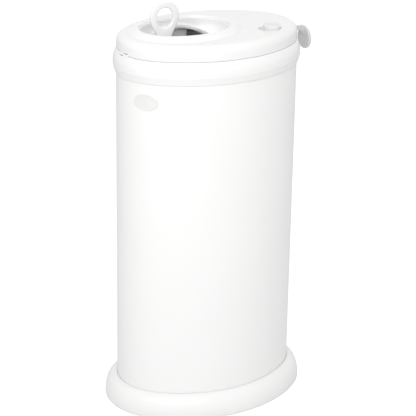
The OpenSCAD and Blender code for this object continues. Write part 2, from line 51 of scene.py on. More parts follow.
MOUTH = (75.0, 57.0, 51.0)
MOUTH_Y = -41.0
SEAM = 575.8                         # top of the collar
LID_Z = 576.2                        # underside of the lid's skirt
LID_TOP = 600.0
LID_OUT = -0.5
LID_SIDE_H = 6.0
LID_WALL = 3.0
SHOULDER = 15.5
FULLNESS = 0.66                      # power of the shoulder's cosine and sine
COLLAR_Z = 541.0
COLLAR_LIP = 4.7
COLLAR_BULGE = 1.9
LAND_IN, LEDGE_IN = 4.5, 12.2
LEDGE_Z = SEAM - 9                   # shelf of the bag ring inside the collar
FOOT_H = 38.0
FOOT_EDGE = 4.0
FOOT_FLARE = 19.45
RIM_H = 7.2
RIM_SLOPE = 13.5
RIM_LIP = 3.5
THROAT_WALL = 2.4
AXIS_Y, AXIS_Z = -32.0, 495.0        # axis of the door's drum
DOOR_R, DOOR_T, DOOR_HALF = 95.0, 2.6, 52.0
DOOR_FRONT, DOOR_REAR = -82.0, -15.0     # degrees round the axis, from straight up
DOOR_CLEAR = 6.8                     # least distance of the door from the tube's outside
APRON_R = 98.0
SLOT_HALF = 45.0
SLOT_FRONT, SLOT_REAR = -37.0, 19.5      # degrees round the axis
RING_Y, RING_Z, RING_R = -75.0, 625.0, 24.0
RING_HOLE, HOLE_Z = (14.9, 13.2, 13.0), 623.3
RING_HALF_T, RING_POWER, NECK_HALF = 3.0, 3.6, 11.0
BUTTON = (49.0, 83.0)
BUTTON_R, BUTTON_H, BUTTON_TRAVEL = 13.0, 5.6, 8.0
HINGE_Y, HINGE_Z = -144.8, 576.0
KNUCKLE_R, KNUCKLE_HALF, RELIEF_R, RELIEF_HALF = 2.2, 4.9, 3.2, 5.1
LATCH_Y, LATCH_Z = 137.0, 588.0
LATCH_BORE, HUB_R = 2.05, 4.5
THUMB_Y, THUMB_Z, THUMB_R, THUMB_T = 172.5, 562.0, 17.0, 5.0
BADGE, BADGE_Z, BADGE_A = (20.2, 12.2, 8.2), 512.0, 36.0

MM = 0.001
FRAME_PX, SENSOR = 416.0, 36.0
FLOOR_GLOW, WORLD_LIGHT = 0.42, 0.725


# ---------------------------------------------------------------- camera
def place_camera():
    """The camera solved from the foot, collar and lid lines of the photograph.

    It stands at a bearing from the front, a distance from the bin's axis and a height in metres, and is
    turned from level towards the axis by the pitch, yaw and roll. The focal length is in pixels.
    """
    distance, height, focal = 2.44027, 1.25659, 1660.89
    bearing, pitch, yaw, roll = (math.radians(a) for a in (60.0, 21.288, 0.106, 0.946))
    up = np.array([0.0, 0.0, 1.0])
    eye = np.array([distance * math.sin(bearing), -distance * math.cos(bearing), height])
    ahead = np.array([-math.sin(bearing), math.cos(bearing), 0.0])
    side = np.cross(ahead, up)
    ahead = math.cos(yaw) * ahead + math.sin(yaw) * side
    side = np.cross(ahead, up)
    look = math.cos(pitch) * ahead - math.sin(pitch) * up
    top = np.cross(side, look)
    right = math.cos(roll) * side + math.sin(roll) * top
    upward = -math.sin(roll) * side + math.cos(roll) * top
    data = bpy.data.cameras.new("camera")
    data.sensor_width = SENSOR
    data.lens = focal / FRAME_PX * SENSOR
    data.clip_start, data.clip_end = 0.05, 50.0
    cam = bpy.data.objects.new("camera", data)
    bpy.context.scene.collection.objects.link(cam)
    cam.matrix_world = Matrix([[right[i], upward[i], -look[i], eye[i]] for i in range(3)] + [[0, 0, 0, 1]])
    bpy.context.scene.camera = cam


place_camera()


# ---------------------------------------------------------------- mesh helpers
def add_mesh(name, verts_mm, faces):
    """A smooth-shaded object at the origin from points in millimetres and quads or polygons."""
    mesh = bpy.data.meshes.new(name)
    rows = faces if isinstance(faces, list) else faces.tolist()
    mesh.from_pydata((np.asarray(verts_mm) * MM).tolist(), [], rows)
    mesh.validate()
    mesh.update()
    obj = bpy.data.objects.new(name, mesh)
    bpy.context.scene.collection.objects.link(obj)
    mesh.polygons.foreach_set("use_smooth", [True] * len(mesh.polygons))
    return obj


def grid_faces(rows, cols, wrap_rows, wrap_cols):
    """Quads of a rows x cols grid of points, closed round in either direction if asked."""
    r = np.arange(rows if wrap_rows else rows - 1)
    c = np.arange(cols if wrap_cols else cols - 1)
    r, c = np.meshgrid(r, c, indexing="ij")
    r1, c1 = (r + 1) % rows, (c + 1) % cols
    return np.stack([r * cols + c, r * cols + c1, r1 * cols + c1, r1 * cols + c], -1).reshape(-1, 4)


def outward(obj):
    """Merges doubles and makes every face look outwards."""
    bm = bmesh.new()
    bm.from_mesh(obj.data)
    bmesh.ops.remove_doubles(bm, verts=bm.verts, dist=1e-6)
    bmesh.ops.recalc_face_normals(bm, faces=bm.faces)
    bm.to_mesh(obj.data)
    bm.free()
    return obj


def oval(shape, count=256):
    """Points and outward normals of a four-arc oval, spaced evenly in the direction of the normal.

    The end curves have radius r about (0, c) and (0, -c), the side curves radius b + d about (-d, 0) and
    (d, 0), where c = a - r and d = (c^2 - (b - r)^2) / (2 (b - r)); the arcs meet where the normal points
    along the line through two centres.
    """
    a, b, r = shape
    c = a - r
    d = (c * c - (b - r) ** 2) / (2 * (b - r))
    join = math.atan2(c, d)
    t = np.linspace(0, 2 * math.pi, count, endpoint=False)
    n = np.stack([np.cos(t), np.sin(t)], -1)
    on_end = np.abs(n[:, 1]) > math.sin(join)
    centre = np.where(on_end[:, None],
                      np.stack([np.zeros_like(t), c * np.sign(n[:, 1])], -1),
                      np.stack([-d * np.sign(n[:, 0]), np.zeros_like(t)], -1))
    radius = np.where(on_end, r, b + d)
    return centre + radius[:, None] * n, n


def round_profile(points, radii, steps=5):
    """A closed outline with each corner replaced by a circular arc of the given radius (0 keeps it).

    Each arc is tangent to both sides: its centre lies on the corner's bisector, and the arc is drawn as
    centre + radius * (cos, sin) between the two points of contact. The radius shrinks where an arc would
    use more than 0.45 of a side, and corners that turn by less than 8 degrees stay as they are.
    """
    out = []
    pts = [np.array(p, float) for p in points]
    for i, p in enumerate(pts):
        rad = radii[i] if isinstance(radii, (list, tuple)) else radii
        u = pts[i - 1] - p
        v = pts[(i + 1) % len(pts)] - p
        lu, lv = np.linalg.norm(u), np.linalg.norm(v)
        u, v = u / lu, v / lv
        half = math.acos(max(-1, min(1, float(u @ v)))) / 2
        if rad <= 0 or half > math.radians(86):
            out.append(p)
            continue
        cut = min(rad / math.tan(half), 0.45 * lu, 0.45 * lv)
        rad = cut * math.tan(half)
        mid = (u + v) / np.linalg.norm(u + v)
        centre = p + mid * rad / math.sin(half)
        p0, p1 = p + u * cut - centre, p + v * cut - centre
        a0, a1 = math.atan2(p0[1], p0[0]), math.atan2(p1[1], p1[0])
        turn = (a1 - a0 + math.pi) % (2 * math.pi) - math.pi
        for k in range(steps + 1):
            a = a0 + turn * k / steps
            out.append(centre + rad * np.array([math.cos(a), math.sin(a)]))
    return np.array(out)


def oval_sweep(name, shape, profile, centre_y=0.0, count=256):
    """A closed profile of (distance from the oval, height) carried round the oval."""
    p, n = oval(shape, count)
    prof = np.asarray(profile)
    xy = p[None] + prof[:, None, :1] * n[None]
    xy[..., 1] += centre_y
    z = np.broadcast_to(prof[:, None, 1:], xy[..., :1].shape)
    pts = np.concatenate([xy, z], -1)
    obj = add_mesh(name, pts.reshape(-1, 3), grid_faces(len(prof), count, True, True))
    return outward(obj)


def revolve(name, profile, count=72, centre=(0, 0)):
    """A (radius, height) profile turned about an upright axis; its points on the axis share one vertex."""
    prof = np.asarray(profile, float)
    t = np.linspace(0, 2 * math.pi, count, endpoint=False)
    ring = np.stack([prof[:, None, 0] * np.cos(t), prof[:, None, 0] * np.sin(t),
                     np.broadcast_to(prof[:, None, 1], (len(prof), count))], -1)
    pts = ring.reshape(-1, 3) + np.array([centre[0], centre[1], 0.0])
    obj = add_mesh(name, pts, grid_faces(len(prof), count, False, True))
    return outward(obj)


def prism(name, outline, x0, x1, edge=0.0, steps=3):
    """A (y, z) outline between two x planes, closed by a polygon at each end.

    With an edge, each end face is sunk by that much inside a 45 degree border: depth and inset of a layer
    are both edge * (1 - sin a), and the outline moves in along its own normals.
    """
    line = np.asarray(outline, float)
    ahead = np.roll(line, -1, 0) - np.roll(line, 1, 0)
    nrm = np.stack([ahead[:, 1], -ahead[:, 0]], -1)
    nrm /= np.linalg.norm(nrm, axis=1, keepdims=True)
    area = 0.5 * np.sum(line[:, 0] * np.roll(line[:, 1], -1) - np.roll(line[:, 0], -1) * line[:, 1])
    nrm *= np.sign(area)
    turn = np.linspace(0, math.pi / 2, steps + 1) if edge > 0 else np.array([math.pi / 2])
    rows = []
    for a in turn:
        inset = edge * (1 - math.sin(a))
        rows.append((x0 + inset, inset))
    rows += [(x1 + x0 - x, inset) for x, inset in reversed(rows)]
    pts = []
    for x, inset in rows:
        q = line - nrm * inset
        pts.append(np.concatenate([np.full((len(q), 1), x), q], 1))
    n = len(line)
    faces = grid_faces(len(rows), n, False, True).tolist()
    faces.append(list(range(n)))
    faces.append(list(range((len(rows) - 1) * n, len(rows) * n)))
    return outward(add_mesh(name, np.concatenate(pts), faces))


def bent_loop(name, inner, outer, low, high):
    """A flat loop bent over the door's drum: between two distances from its middle and two radii.

    inner and outer give, for each direction, how far the loop's edges lie from its middle in plan, and
    every point's height is the drum axis plus the root of (radius^2 - (y - axis)^2).
    """
    t = np.linspace(0, 2 * math.pi, len(inner), endpoint=False)
    way = np.stack([np.cos(t), np.sin(t)], -1)
    rows = []
    for reach, radius in ((inner, low), (outer, low), (outer, high), (inner, high)):
        xy = way * reach[:, None] + np.array([0.0, MOUTH_Y])
        z = AXIS_Z + np.sqrt(radius ** 2 - (xy[:, 1] - AXIS_Y) ** 2)
        rows.append(np.concatenate([xy, z[:, None]], 1))
    obj = add_mesh(name, np.concatenate(rows), grid_faces(4, len(t), True, True))
    return outward(obj)


def reach_of(outline, count=300):
    """Distance from the middle of the mouth to a closed outline, for evenly spaced directions.

    Each ray is cut with every side of the outline at once; the farthest cut in front is kept.
    """
    t = np.linspace(0, 2 * math.pi, count, endpoint=False)
    way = np.stack([np.cos(t), np.sin(t)], -1)[:, None]
    a = np.asarray(outline)[None]
    e = np.roll(a, -1, 1) - a
    den = way[..., 0] * e[..., 1] - way[..., 1] * e[..., 0]
    den = np.where(np.abs(den) < 1e-12, 1e-12, den)
    far = (a[..., 0] * e[..., 1] - a[..., 1] * e[..., 0]) / den
    part = (a[..., 0] * way[..., 1] - a[..., 1] * way[..., 0]) / den
    good = (far > 0) & (part >= -1e-9) & (part <= 1 + 1e-9)
    return np.where(good, far, -1).max(1)


def cut(obj, tool, operation="DIFFERENCE"):
    """Applies a boolean to a piece and throws its tool away."""
    mod = obj.modifiers.new("cut", "BOOLEAN")
    mod.operation, mod.solver, mod.object = operation, "EXACT", tool
    bpy.context.view_layer.update()
    mesh = bpy.data.meshes.new_from_object(obj.evaluated_get(bpy.context.evaluated_depsgraph_get()))
    obj.modifiers.clear()
    old, obj.data = obj.data, mesh
    mesh.name = old.name
    bpy.data.meshes.remove(old)
    bpy.data.objects.remove(tool)


def join(obj, other):
    """Adds another closed shell to a piece and throws the spare object away."""
    bm = bmesh.new()
    bm.from_mesh(obj.data)
    bm.from_mesh(other.data)
    bm.to_mesh(obj.data)
    bm.free()
    bpy.data.objects.remove(other)
    return obj


def rod(x0, x1, y, z, r, count=40):
    """A round bar along x, as an outline turned into a prism."""
    t = np.linspace(0, 2 * math.pi, count, endpoint=False)
    return prism("tool", np.stack([y + r * np.cos(t), z + r * np.sin(t)], -1), x0, x1)


def brick(x0, x1, y0, y1, z0, z1):
    """A plain block between its six faces."""
    return prism("tool", [(y0, z0), (y1, z0), (y1, z1), (y0, z1)], x0, x1)


def rounded(obj, width, angle):
    """Softens the edges sharper than the angle with a live bevel of two segments."""
    mod = obj.modifiers.new("edges", "BEVEL")
    mod.width, mod.segments, mod.limit_method = width * MM, 2, "ANGLE"
    mod.angle_limit = math.radians(angle)
    mod.harden_normals = False
    return obj


def sharp_by_angle(obj, degrees=32):
    """Marks edges sharper than the angle, so that flats and curves both shade cleanly."""
    bm = bmesh.new()
    bm.from_mesh(obj.data)
    for edge in bm.edges:
        edge.smooth = len(edge.link_faces) == 2 and edge.calc_face_angle(0) < math.radians(degrees)
    for face in bm.faces:
        face.smooth = True
    bm.to_mesh(obj.data)
    bm.free()
    return obj


# ---------------------------------------------------------------- the steel tube and the foot
def make_foot():
    """The foot: a quarter oval drawn a little full, from the seam down to a small rounded toe.

    Over a quarter turn the flare stands 0.8 + (flare - 0.8) * cos^0.9 off the tube, at the height
    edge + (rise - edge) * sin^0.9; the toe below it is a quarter ellipse.
    """
    toe, toe_h = 1.4, FOOT_EDGE
    turn = np.linspace(math.pi / 2, 0, 20)
    across, up = np.clip(np.cos(turn), 0, 1) ** 0.9, np.sin(turn) ** 0.9
    rise = list(zip(0.8 + (FOOT_FLARE - 0.8) * across, toe_h + (FOOT_H - 0.6 - toe_h) * up))
    edge = [(FOOT_FLARE - toe + toe * math.cos(a), toe_h - toe_h * math.sin(a))
            for a in np.linspace(0.2, math.pi / 2, 6)]
    outer = [(6.0, 0.6), (7.5, 0.6), (8.5, 0.0)] + edge[::-1] + rise[::-1]
    inner = [(0.3, FOOT_H - 0.8), (0.3, 8.0), (-1.1, 8.0), (-1.1, 29.0),
             (-3.7, 29.0), (-3.7, 3.0), (-8.0, 3.0)]
    return capped_sweep("foot_shell", TUBE, outer + inner)


def capped_sweep(name, shape, profile, count=256):
    """An open profile carried round the oval, with a flat polygon across its first and last rows."""
    p, n = oval(shape, count)
    prof = np.asarray(profile)
    xy = p[None] + prof[:, None, :1] * n[None]
    z = np.broadcast_to(prof[:, None, 1:], xy[..., :1].shape)
    pts = np.concatenate([xy, z], -1).reshape(-1, 3)
    faces = grid_faces(len(prof), count, False, True).tolist()
    faces.append(list(range(count)))
    faces.append(list(range((len(prof) - 1) * count, len(prof) * count)))
    return outward(add_mesh(name, pts, faces))


foot = sharp_by_angle(make_foot(), 40)
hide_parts("foot"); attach(foot, "pail")

tube_line = round_profile([(0, TUBE_LOW), (0, TUBE_HIGH), (-STEEL, TUBE_HIGH), (-STEEL, TUBE_LOW)], 0.2, 3)
tube = sharp_by_angle(oval_sweep("tube_shell", TUBE, tube_line, count=384), 40)
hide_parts("steel_tube"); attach(tube, "pail")


def make_badge():
    """An oval plate curved round the tube's front curve.

    For rho from 0 to 1 and theta round the oval, the arc length along the tube and the height are rho times
    the badge's outline, and the distance from the curve's axis is its radius plus a plate thickness that
    rises to a narrow rim and rolls down to the steel at rho = 1.
    """
    line, _ = oval(BADGE, 120)
    along, height = line[:, 1], line[:, 0]
    rho = np.array([0.0, 0.5, 0.8, 0.84, 0.87, 0.9, 0.93, 0.96, 0.98, 0.993, 1.0, 1.0, 0.0])
    thick = np.array([0.85, 0.85, 0.85, 0.87, 1.0, 1.12, 1.18, 1.14, 1.0, 0.7, 0.35, 0.02, 0.02])
    angle = math.radians(BADGE_A) + rho[:, None] * along / TUBE[2]
    radius = TUBE[2] + thick[:, None] + 0 * angle
    pts = np.stack([radius * np.sin(angle), -(TUBE[0] - TUBE[2]) - radius * np.cos(angle),
                    BADGE_Z + rho[:, None] * height], -1)
    return outward(add_mesh("badge_plate", pts.reshape(-1, 3), grid_faces(len(rho), 120, False, True)))


badge = make_badge()
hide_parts("badge"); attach(badge, "pail")


# ---------------------------------------------------------------- the collar, its seal and the bag ring
def make_collar():
    """The collar: a chamfered lower lip, a belly that swells as a half sine, and the ledge inside.

    At the share t of its height the belly stands lip (1 - t) + top t + bulge * sin(pi t) off the tube.
    """
    top_out, belly_z = LID_OUT + 0.9, COLLAR_Z + 11
    belly = [(COLLAR_LIP + (top_out - COLLAR_LIP) * t + COLLAR_BULGE * math.sin(math.pi * t),
              belly_z + (SEAM - belly_z) * t) for t in np.linspace(0, 0.985, 24)]
    line = [(0.3, COLLAR_Z + 0.4), (0.6, COLLAR_Z), (1.35, COLLAR_Z),
            (1.6, COLLAR_Z + 0.25), (1.9, COLLAR_Z + 1.2),
            (COLLAR_LIP - 0.3, belly_z - 0.6)] + belly
    line += [(top_out - 0.15, SEAM - 0.1), (top_out - 0.45, SEAM),
             (LID_OUT - 0.9, SEAM), (LID_OUT - 0.9, SEAM - 2),
             (LID_OUT - 2.7, SEAM - 2), (LID_OUT - 2.7, SEAM), (0.4 - LAND_IN, SEAM), (-LAND_IN, SEAM - 0.4),
             (-LAND_IN, LEDGE_Z), (-LEDGE_IN, LEDGE_Z), (-LEDGE_IN, SEAM - 11.6), (-3.7, SEAM - 11.6),
             (-3.7, COLLAR_Z + 4), (-1.1, COLLAR_Z + 4), (-1.1, SEAM - 12), (0.3, SEAM - 12)]
    obj = oval_sweep("collar_shell", TUBE, line)
    cut(obj, rod(-RELIEF_HALF, RELIEF_HALF, HINGE_Y, HINGE_Z, RELIEF_R))
    for x in (-10, 10):
        cut(obj, rod(x - KNUCKLE_HALF, x + KNUCKLE_HALF, HINGE_Y, HINGE_Z, KNUCKLE_R), "UNION")
    return sharp_by_angle(obj)


collar = make_collar()
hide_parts("collar"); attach(collar, "pail")

seal_out, seal_in = LID_OUT - 0.95, LID_OUT - 2.65
seal_line = round_profile([(seal_in, SEAM - 1.95), (seal_out, SEAM - 1.95), (seal_out, SEAM + 0.08),
                           (seal_in, SEAM + 0.08)], 0.5, 3)
seal = oval_sweep("collar_gasket", TUBE, seal_line)
cut(seal, brick(-16, 16, HINGE_Y - 9, HINGE_Y + 9, SEAM - 9, SEAM + 9))
sharp_by_angle(seal)
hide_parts("collar_seal"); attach(seal, "pail")

ring_line = round_profile([(-LAND_IN - 0.65, LEDGE_Z + 0.02), (-LAND_IN - 0.65, LEDGE_Z + 3),
                           (-LEDGE_IN - 1, LEDGE_Z + 3.6), (-LEDGE_IN - 3, LEDGE_Z + 2.4),
                           (-LEDGE_IN - 3, LEDGE_Z - 4), (-LEDGE_IN - 1, LEDGE_Z - 4),
                           (-LEDGE_IN - 1, LEDGE_Z + 0.02)],
                          [0.3, 1.0, 1.5, 1.2, 0.8, 0.4, 0.2], 4)
bag_ring = oval_sweep("bag_ring_shell", TUBE, ring_line)
cut(bag_ring, brick(-9, 9, LATCH_Y - 9.8, 152, LEDGE_Z - 1, LEDGE_Z + 9))
sharp_by_angle(bag_ring)
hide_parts("bag_ring"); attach(bag_ring, "pail")


# ---------------------------------------------------------------- the lid and its mouth
def make_lid():
    """The lid cover: side, shoulder and flat top down to the mouth's opening, then back underneath.

    At the turn a of the shoulder the cover stands out - shoulder * (1 - cos^f a) off the tube, at the height
    side + rise * sin^f a, where f is its fullness; the inside is the same, one wall smaller. The next rows
    are the mouth's oval, reached in straight lines between points whose normals point the same way.
    """
    count = 384
    p, n = oval(TUBE, count)
    q, m = oval(MOUTH, count)
    q = q + np.array([0.0, MOUTH_Y])
    side = LID_Z + LID_SIDE_H
    rise = LID_TOP - side
    turn = np.linspace(0, math.pi / 2, 30)
    across, up = np.clip(np.cos(turn), 0, 1) ** FULLNESS, np.sin(turn) ** FULLNESS
    outer = [(LID_OUT - 0.5, LID_Z), (LID_OUT, LID_Z + 0.5)]
    outer += list(zip(LID_OUT - SHOULDER * (1 - across), side + rise * up))
    inner = list(zip(LID_OUT - LID_WALL - (SHOULDER - LID_WALL) * (1 - across),
                     side + (rise - LID_WALL) * up))[::-1]
    inner += [(LID_OUT - LID_WALL, LID_Z)]
    rows = [np.concatenate([p + k * n, np.full((count, 1), z)], 1) for k, z in outer]
    hole = q + (RIM_SLOPE - 6) * m
    flat = 0.5 * (p + (LID_OUT - SHOULDER) * n) + 0.5 * hole
    rows += [np.concatenate([xy, np.full((count, 1), z)], 1)
             for xy, z in ((flat, LID_TOP), (hole, LID_TOP), (hole, LID_TOP - LID_WALL))]
    rows += [np.concatenate([p + k * n, np.full((count, 1), z)], 1) for k, z in inner]
    obj = outward(add_mesh("lid_shell", np.concatenate(rows), grid_faces(len(rows), count, True, True)))
    cut(obj, lock_window("tool", BUTTON_R + 1.5, LID_TOP - 6, LID_TOP + 3))
    cut(obj, brick(-6.5, 6.5, LATCH_Y + 3, 170, LID_Z - 1, SEAM + 12))
    for x in (-10, 10):
        cut(obj, rod(x - RELIEF_HALF, x + RELIEF_HALF, HINGE_Y, HINGE_Z, RELIEF_R))
        lug = brick(0.95 * x - 1.5, 0.95 * x + 1.5, LATCH_Y - 5, LATCH_Y + 3.5, LATCH_Z - 4.5, LID_TOP - 2.5)
        cut(obj, lug, "UNION")
    cut(obj, rod(-KNUCKLE_HALF, KNUCKLE_HALF, HINGE_Y, HINGE_Z, KNUCKLE_R), "UNION")
    return sharp_by_angle(obj, 30)


def window_line(r, count=28):
    """The lock's oblong: two half circles one travel apart."""
    up = np.linspace(0, math.pi, count)
    down = up + math.pi
    x = np.concatenate([r * np.cos(up), r * np.cos(down)]) + BUTTON[0]
    y = np.concatenate([r * np.sin(up) + BUTTON[1], r * np.sin(down) + BUTTON[1] - BUTTON_TRAVEL])
    return np.stack([x, y], -1)


def stacked(name, layers):
    """Closed outlines of equal length stacked in height, with flat ends."""
    n = len(layers[0][0])
    pts = np.concatenate([np.concatenate([xy, np.full((n, 1), z)], 1) for xy, z in layers])
    faces = grid_faces(len(layers), n, False, True).tolist()
    faces.append(list(range(n)))
    faces.append(list(range((len(layers) - 1) * n, len(layers) * n)))
    return outward(add_mesh(name, pts, faces))


def lock_window(name, r, z0, z1):
    """A block of the lock's oblong outline between two heights."""
    return stacked(name, [(window_line(r), z0), (window_line(r), z1)])


lid = make_lid()
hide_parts("lid_cover"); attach(lid, "lid")


def make_rim():
    """The mouth's ring: a slope up to the crest, and a lip that is a quarter ellipse down into the mouth.

    At the share t of the slope the distance from the mouth's oval is slope * (1 - t) and the height
    RIM_H * (1 - (1 - t)^1.7); the lip is (-lip * sin a, RIM_H - 3 + 3 cos a).
    """
    slope = [(RIM_SLOPE * (1 - t), LID_TOP + RIM_H * (1 - (1 - t) ** 1.7))
             for t in np.linspace(0.02, 0.93, 16)]
    lip = [(-RIM_LIP * math.sin(a), LID_TOP + RIM_H - 3 + 3 * math.cos(a))
           for a in np.linspace(0.15, math.pi / 2, 9)]
    spigot = RIM_SLOPE - 6.3
    line = [(spigot, LID_TOP + 0.02), (RIM_SLOPE, LID_TOP + 0.02)] + slope + lip
    line += [(-RIM_LIP, LID_TOP - 4), (spigot, LID_TOP - 4)]
    return sharp_by_angle(oval_sweep("mouth_ring", MOUTH, line, MOUTH_Y, 320), 40)


rim = make_rim()
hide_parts("mouth_rim"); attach(rim, "lid")


def throat_reach(grow, slot_grow=None):
    """How far the throat's oval, or the drop slot inside it, lies from the mouth's middle.

    The slot is a soft minimum (sum of d^-30)^(-1/30) of three distances d along each direction: to the
    grown oval, to the slot's sides, and to its front or rear edge. The edges are two angles round the drum,
    measured at the apron's upper face or just above it, which keeps them clear of the ring's neck.
    """
    line, nrm = oval(MOUTH, 720)
    reach = reach_of(line + (grow - RIM_LIP) * nrm)
    if slot_grow is None:
        return reach
    t = np.linspace(0, 2 * math.pi, len(reach), endpoint=False)
    arc_per_degree, far, keen = 1.7, 400, 30.0
    turn = math.radians(slot_grow / arc_per_degree)
    front = AXIS_Y + (APRON_R + THROAT_WALL) * math.sin(math.radians(SLOT_FRONT) - turn) - MOUTH_Y
    rear = AXIS_Y + (APRON_R + 3.0) * math.sin(math.radians(SLOT_REAR) + turn) - MOUTH_Y
    half = SLOT_HALF + slot_grow
    with np.errstate(divide="ignore", invalid="ignore"):
        across = half / np.abs(np.cos(t))
        along = np.where(np.sin(t) > 0, rear / np.sin(t), front / np.sin(t))
    stack = np.stack([reach, np.minimum(across, far), np.minimum(np.abs(along), far)])
    return (stack ** -keen).sum(0) ** (-1 / keen)


def make_throat():
    """The throat: an oval wall down to the drum, and the apron bent over the door.

    The wall's lower edge lies at the drum's axis plus the root of (apron radius^2 - (y - axis)^2).
    """
    count = 320
    p, n = oval(MOUTH, count)
    rows = []
    outside, inside = -RIM_LIP - 0.03, -RIM_LIP - THROAT_WALL
    for grow, low in ((outside, False), (outside, True), (inside, True), (inside, False)):
        xy = p + grow * n + np.array([0.0, MOUTH_Y])
        foot_z = AXIS_Z + np.sqrt(APRON_R ** 2 - (xy[:, 1] - AXIS_Y) ** 2)
        z = foot_z if low else np.full(count, LID_TOP + RIM_H - 4)
        rows.append(np.concatenate([xy, z[:, None]], 1))
    wall = outward(add_mesh("throat_wall", np.concatenate(rows), grid_faces(4, count, True, True)))
    apron = bent_loop("throat_apron", throat_reach(-5.4, 0.0), throat_reach(-1.2),
                      APRON_R, APRON_R + THROAT_WALL)
    cut(wall, apron, "UNION")
    return sharp_by_angle(wall)


throat = make_throat()
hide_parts("throat"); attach(throat, "lid")

lips = bent_loop("mouth_gasket", throat_reach(-6.2, -0.8), throat_reach(-2.6, 2.8),
                 DOOR_R + 0.3, APRON_R - 0.03)
sharp_by_angle(lips)
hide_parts("mouth_seal"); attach(lips, "lid")


# ---------------------------------------------------------------- the roller door and its ring
def make_door():
    """The door: a strip of a drum between two angles, narrowed where the tube's front curve is near.

    At the angle a it lies at (y, z) = axis + radius * (sin a, cos a), and its half width is the smaller of
    DOOR_HALF and the root of ((r - clear)^2 - (|y| - c)^2), with the tube's end radius r and its centre c.
    """
    angle = np.radians(np.linspace(DOOR_FRONT, DOOR_REAR, 60))
    y = AXIS_Y + DOOR_R * np.sin(angle)
    near = np.clip((TUBE[2] - DOOR_CLEAR) ** 2 - (np.abs(y) - (TUBE[0] - TUBE[2])) ** 2, 1, None)
    half = np.minimum(DOOR_HALF, np.sqrt(near))
    cols = np.linspace(-1, 1, 9)
    rows = []
    for radius in (DOOR_R, DOOR_R - DOOR_T):
        face = np.stack([cols[None] * half[:, None],
                         (AXIS_Y + radius * np.sin(angle))[:, None] + 0 * cols,
                         (AXIS_Z + radius * np.cos(angle))[:, None] + 0 * cols], -1)
        rows.append(face if radius == DOOR_R else face[:, ::-1])
    loop = np.concatenate(rows, 1)
    count = loop.shape[1]
    faces = grid_faces(len(angle), count, False, True).tolist()
    faces.append(list(range(count)))
    faces.append(list(range((len(angle) - 1) * count, len(angle) * count)))
    return rounded(sharp_by_angle(outward(add_mesh("door_shell", loop.reshape(-1, 3), faces))), 0.6, 40)


door = make_door()
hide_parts("door_panel"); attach(door, "door")


def make_ring():
    """The finger ring: for each direction from its middle, a rounded bar between the hole and the outside.

    The outside is a circle that runs into a tapering neck; a point of the bar's section is the middle of
    the bar plus (half width * cos^(2/p) s, half thickness * sin^(2/p) s), with p = RING_POWER.
    """
    z = np.concatenate([np.linspace(RING_Z + 23.999, RING_Z - 8, 90), np.linspace(RING_Z - 9, 585, 60)])
    circle = np.sqrt(np.clip(RING_R ** 2 - (z - RING_Z) ** 2, 0, None))
    mix = np.clip((RING_Z - 8 - z) / 26.0, 0, 1)
    top_half = 22.6
    neck = top_half + (NECK_HALF - top_half) * (mix * mix * (3 - 2 * mix) * 0.55 + mix * 0.45)
    w = np.where(z > RING_Z - 8, circle, neck)
    z = z - HOLE_Z
    line = np.concatenate([np.stack([w, z], -1), np.stack([-w, z], -1)[::-1]])
    outer = reach_of(line, 240)
    t = np.linspace(0, 2 * math.pi, 240, endpoint=False)
    hole_line, _ = oval(RING_HOLE, 240)
    hole = reach_of(hole_line, 240)
    s = np.linspace(0, 2 * math.pi, 28, endpoint=False)
    power = 2 / RING_POWER
    u = np.sign(np.cos(s)) * np.abs(np.cos(s)) ** power
    v = np.sign(np.sin(s)) * np.abs(np.sin(s)) ** power
    mid, half = (hole + outer) / 2, (outer - hole) / 2
    far = mid[None] + u[:, None] * half[None]
    pts = np.stack([RING_HALF_T * v[:, None] + 0 * far, RING_Y + far * np.cos(t),
                    HOLE_Z + far * np.sin(t)], -1)
    return outward(add_mesh("finger_loop", pts.reshape(-1, 3), grid_faces(len(s), 240, True, True)))


ring = make_ring()
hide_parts("finger_ring"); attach(ring, "door")


# ---------------------------------------------------------------- the child lock
# The cap is a (radius, height) profile with a rolled upper edge and a slight dish, on a square stem.
cap_z = LID_TOP - 3.7
button_line = [(0, cap_z), (BUTTON_R - 0.3, cap_z), (BUTTON_R, cap_z + 0.3), (BUTTON_R, LID_TOP + BUTTON_H - 1.8)]
button_line += [(BUTTON_R - 1.8 + 1.8 * math.cos(a), LID_TOP + BUTTON_H - 1.8 + 1.8 * math.sin(a))
                for a in np.linspace(0.1, math.pi / 2, 9)]
button_line += [(BUTTON_R - 3.2, LID_TOP + BUTTON_H - 0.05), (7.5, LID_TOP + BUTTON_H - 0.35),
                (0, LID_TOP + BUTTON_H - 0.6)]
button = revolve("lock_cap", button_line, 96, BUTTON)
stem = brick(BUTTON[0] - 3, BUTTON[0] + 3, BUTTON[1] - 5, BUTTON[1] + 5, 576.4, cap_z + 0.4)
cut(button, stem, "UNION")
sharp_by_angle(button, 40)
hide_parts("lock_button"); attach(button, "lock")

# Each row of the tray: how far past the cap's radius, and how far from the lid's top.
tray_rows = ((1.35, -5.5), (1.35, -0.35), (1.1, -0.1), (0.5, -0.1), (0.5, -4.0))
tray = stacked("lock_recess", [(window_line(BUTTON_R + past), LID_TOP + depth) for past, depth in tray_rows])
bar_way = brick(BUTTON[0] - 3.3, BUTTON[0] + 3.3, BUTTON[1] - 13.3, BUTTON[1] + 5.3, LID_TOP - 7, LID_TOP - 3)
cut(tray, bar_way)
sharp_by_angle(tray)
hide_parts("lock_tray"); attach(tray, "lid")


